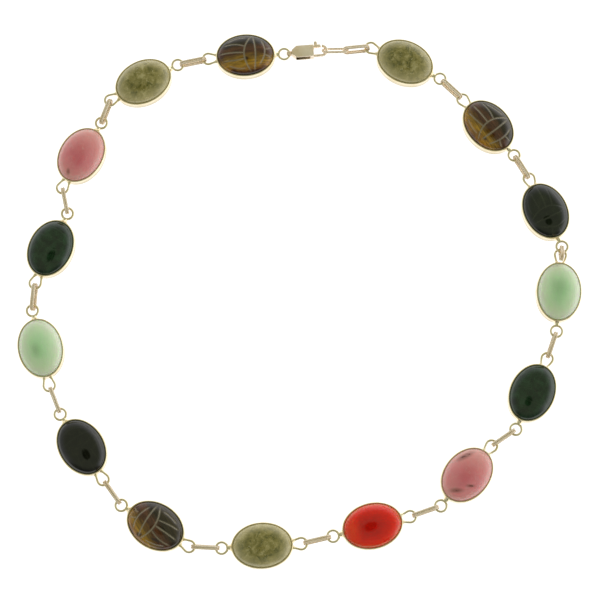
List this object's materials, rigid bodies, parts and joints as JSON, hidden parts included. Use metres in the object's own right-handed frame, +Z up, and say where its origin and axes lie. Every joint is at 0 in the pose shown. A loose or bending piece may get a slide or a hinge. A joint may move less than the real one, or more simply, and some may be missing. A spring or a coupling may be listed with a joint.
{
  "type": "scarab necklace",
  "caption": "Necklace of oval cabochons carved as scarabs in gold-filled bezels, joined by long oval links and closed by a clasp with a sprung lever.",
  "frame": {"origin": "on the surface it lies on, at the middle of the loop", "axes": "+Z up out of the stones' domes, +Y towards the clasp, +X to the right"},
  "size_m": [0.139, 0.1346, 0.0064],
  "materials": {
    "gold_filled": "polished pale gold-filled wire and sheet",
    "tigers_eye": "polished, banded, grooves left pale",
    "jasper": "polished, mottled grey-green",
    "pink": "polished, dusty pink with brown inclusions",
    "dark_green": "polished, near black green",
    "light_green": "polished, slightly translucent",
    "carnelian": "polished, orange red"
  },
  "bodies": {
    "necklace": {"clasp_body": "gold_filled", "clasp_pin": "gold_filled", "end_link": "gold_filled", "link_01": "gold_filled", "link_02": "gold_filled", "link_03": "gold_filled", "link_04": "gold_filled", "link_05": "gold_filled", "link_06": "gold_filled", "link_07": "gold_filled", "link_08": "gold_filled", "link_09": "gold_filled", "link_10": "gold_filled", "link_11": "gold_filled", "link_12": "gold_filled", "link_13": "gold_filled", "link_14": "gold_filled", "link_15": "gold_filled", "setting_01": "gold_filled", "setting_02": "gold_filled", "setting_03": "gold_filled", "setting_04": "gold_filled", "setting_05": "gold_filled", "setting_06": "gold_filled", "setting_07": "gold_filled", "setting_08": "gold_filled", "setting_09": "gold_filled", "setting_10": "gold_filled", "setting_11": "gold_filled", "setting_12": "gold_filled", "setting_13": "gold_filled", "setting_14": "gold_filled", "setting_15": "gold_filled", "stone_01_tigers_eye": "tigers_eye", "stone_02_jasper": "jasper", "stone_03_pink": "pink", "stone_04_dark_green": "dark_green", "stone_05_light_green": "light_green", "stone_06_dark_green": "dark_green", "stone_07_tigers_eye": "tigers_eye", "stone_08_jasper": "jasper", "stone_09_carnelian": "carnelian", "stone_10_pink": "pink", "stone_11_dark_green": "dark_green", "stone_12_light_green": "light_green", "stone_13_dark_green": "dark_green", "stone_14_tigers_eye": "tigers_eye", "stone_15_jasper": "jasper"},
    "lever": {"clasp_lever": "gold_filled"}
  },
  "joints": [
    {"name": "clasp_lever_hinge", "type": "hinge", "parent": "necklace", "child": "lever", "pos_m": [0.00275, 0.06355, 0.0014], "axis": [0, 0, -1], "range_deg": [0, 30], "stiffness_Nm_per_rad": 0.00002, "springref_deg": -17.19}
  ]
}
